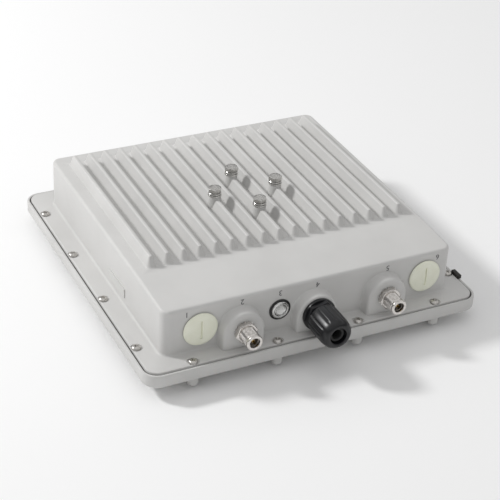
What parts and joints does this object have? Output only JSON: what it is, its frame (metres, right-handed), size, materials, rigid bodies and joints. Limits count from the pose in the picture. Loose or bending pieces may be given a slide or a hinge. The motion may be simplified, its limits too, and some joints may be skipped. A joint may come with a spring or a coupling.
{
  "type": "outdoor wireless bridge",
  "caption": "Square outdoor radio unit: finned cast housing on a screwed radome tray, with two N jacks, a cable gland, slotted blanking plugs, a sealed reset button and bracket bolts.",
  "frame": {"origin": "middle of the radome's flat face, on the surface that the unit rests on", "axes": "+Z from the radome towards the fins; -Y out of the face that carries the connectors; X across the fins"},
  "size_m": [0.3703, 0.401, 0.1054],
  "materials": {
    "housing_paint": "light grey polyester powder coat over cast aluminium, satin",
    "radome_plastic": "light grey weatherproof moulding, satin",
    "gasket_rubber": "black silicone",
    "cover_screw_steel": "stainless pan heads",
    "bracket_bolt_steel": "bright stainless hexagon heads",
    "washer_steel": "stainless, turned",
    "connector_nickel": "nickel-plated brass",
    "connector_ptfe": "white PTFE",
    "contact_gold": "gold-plated contact",
    "plug_polyamide": "ivory polyamide",
    "seal_rubber": "black rubber",
    "button_steel": "brushed stainless",
    "spring_steel": "spring wire",
    "gland_polyamide": "black polyamide, glossy",
    "insert_rubber": "black rubber insert",
    "board_laminate": "green circuit laminate",
    "tinned_steel": "tinned sheet",
    "antenna_laminate": "copper-clad laminate",
    "plate_film": "printed film"
  },
  "bodies": {
    "housing": {"antenna_panel": "antenna_laminate", "cover_gasket": "gasket_rubber", "cover_screw_01": "cover_screw_steel", "cover_screw_02": "cover_screw_steel", "cover_screw_03": "cover_screw_steel", "cover_screw_04": "cover_screw_steel", "cover_screw_05": "cover_screw_steel", "cover_screw_06": "cover_screw_steel", "cover_screw_07": "cover_screw_steel", "cover_screw_08": "cover_screw_steel", "cover_screw_09": "cover_screw_steel", "cover_screw_10": "cover_screw_steel", "cover_screw_11": "cover_screw_steel", "cover_screw_12": "cover_screw_steel", "cover_screw_13": "cover_screw_steel", "cover_screw_14": "cover_screw_steel", "cover_screw_15": "cover_screw_steel", "cover_screw_16": "cover_screw_steel", "ethernet_jack": "tinned_steel", "gland_body": "gland_polyamide", "gland_locknut": "gland_polyamide", "gland_seal": "seal_rubber", "left_connector_barrel": "connector_nickel", "left_connector_contact": "contact_gold", "left_connector_insulator": "connector_ptfe", "left_connector_lock_washer": "washer_steel", "left_connector_nut": "connector_nickel", "main_board": "board_laminate", "radome_cover": "radome_plastic", "rear_housing": "housing_paint", "reset_bezel": "button_steel", "reset_nut": "washer_steel", "reset_seal": "seal_rubber", "reset_spring": "spring_steel", "right_connector_barrel": "connector_nickel", "right_connector_contact": "contact_gold", "right_connector_insulator": "connector_ptfe", "right_connector_lock_washer": "washer_steel", "right_connector_nut": "connector_nickel", "shield_can": "tinned_steel", "side_plate": "plate_film"},
    "reset_cap": {"reset_cap": "button_steel"},
    "gland_insert": {"gland_insert": "insert_rubber"},
    "gland_dome_nut": {"gland_dome_nut": "gland_polyamide"},
    "left_plug_ring": {"left_blank_plug_o_ring": "seal_rubber"},
    "left_plug": {"left_blank_plug": "plug_polyamide"},
    "right_plug_ring": {"right_blank_plug_o_ring": "seal_rubber"},
    "right_plug": {"right_blank_plug": "plug_polyamide"},
    "washers_front": {"bracket_flat_washer_front": "washer_steel", "bracket_spring_washer_front": "washer_steel"},
    "bolt_front": {"bracket_bolt_front": "bracket_bolt_steel"},
    "washers_right": {"bracket_flat_washer_right": "washer_steel", "bracket_spring_washer_right": "washer_steel"},
    "bolt_right": {"bracket_bolt_right": "bracket_bolt_steel"},
    "washers_back": {"bracket_flat_washer_back": "washer_steel", "bracket_spring_washer_back": "washer_steel"},
    "bolt_back": {"bracket_bolt_back": "bracket_bolt_steel"},
    "washers_left": {"bracket_flat_washer_left": "washer_steel", "bracket_spring_washer_left": "washer_steel"},
    "bolt_left": {"bracket_bolt_left": "bracket_bolt_steel"}
  },
  "joints": [
    {"name": "reset_press", "type": "slide", "parent": "housing", "child": "reset_cap", "axis": [0, 1, 0], "range_m": [0, 0.0015], "stiffness_N_per_m": 400, "springref_m": -0.003, "deforming": ["reset_spring"]},
    {"name": "gland_nut_lift", "type": "slide", "parent": "housing", "child": "gland_insert", "axis": [0, -1, 0], "range_m": [0, 0.01199]},
    {"name": "gland_nut_turn", "type": "hinge", "parent": "gland_insert", "child": "gland_dome_nut", "pos_m": [0, -0.172, 0.048], "axis": [0, -1, 0], "range_deg": [0, 2880]},
    {"name": "left_plug_lift", "type": "slide", "parent": "housing", "child": "left_plug_ring", "axis": [0, -1, 0], "range_m": [0, 0.00899]},
    {"name": "left_plug_turn", "type": "hinge", "parent": "left_plug_ring", "child": "left_plug", "pos_m": [-0.121, -0.1595, 0.0535], "axis": [0, -1, 0], "range_deg": [0, 2160]},
    {"name": "right_plug_lift", "type": "slide", "parent": "housing", "child": "right_plug_ring", "axis": [0, -1, 0], "range_m": [0, 0.00899]},
    {"name": "right_plug_turn", "type": "hinge", "parent": "right_plug_ring", "child": "right_plug", "pos_m": [0.1285, -0.1595, 0.0535], "axis": [0, -1, 0], "range_deg": [0, 2160]},
    {"name": "bolt_front_lift", "type": "slide", "parent": "housing", "child": "washers_front", "axis": [0, 0, 1], "range_m": [0, 0.00999]},
    {"name": "bolt_front_turn", "type": "hinge", "parent": "washers_front", "child": "bolt_front", "pos_m": [0, -0.035, 0.0965], "axis": [0, 0, 1], "range_deg": [0, 2880]},
    {"name": "bolt_right_lift", "type": "slide", "parent": "housing", "child": "washers_right", "axis": [0, 0, 1], "range_m": [0, 0.00999]},
    {"name": "bolt_right_turn", "type": "hinge", "parent": "washers_right", "child": "bolt_right", "pos_m": [0.035, 0, 0.0965], "axis": [0, 0, 1], "range_deg": [0, 2880]},
    {"name": "bolt_back_lift", "type": "slide", "parent": "housing", "child": "washers_back", "axis": [0, 0, 1], "range_m": [0, 0.00999]},
    {"name": "bolt_back_turn", "type": "hinge", "parent": "washers_back", "child": "bolt_back", "pos_m": [0, 0.035, 0.0965], "axis": [0, 0, 1], "range_deg": [0, 2880]},
    {"name": "bolt_left_lift", "type": "slide", "parent": "housing", "child": "washers_left", "axis": [0, 0, 1], "range_m": [0, 0.00999]},
    {"name": "bolt_left_turn", "type": "hinge", "parent": "washers_left", "child": "bolt_left", "pos_m": [-0.035, 0, 0.0965], "axis": [0, 0, 1], "range_deg": [0, 2880]}
  ],
  "couplings": [
    {"joint": "gland_nut_turn", "follows": "gland_nut_lift", "rad_per_m": 4188.8},
    {"joint": "left_plug_turn", "follows": "left_plug_lift", "rad_per_m": 4188.8},
    {"joint": "right_plug_turn", "follows": "right_plug_lift", "rad_per_m": 4188.8},
    {"joint": "bolt_front_turn", "follows": "bolt_front_lift", "rad_per_m": 5026.5},
    {"joint": "bolt_right_turn", "follows": "bolt_right_lift", "rad_per_m": 5026.5},
    {"joint": "bolt_back_turn", "follows": "bolt_back_lift", "rad_per_m": 5026.5},
    {"joint": "bolt_left_turn", "follows": "bolt_left_lift", "rad_per_m": 5026.5}
  ]
}
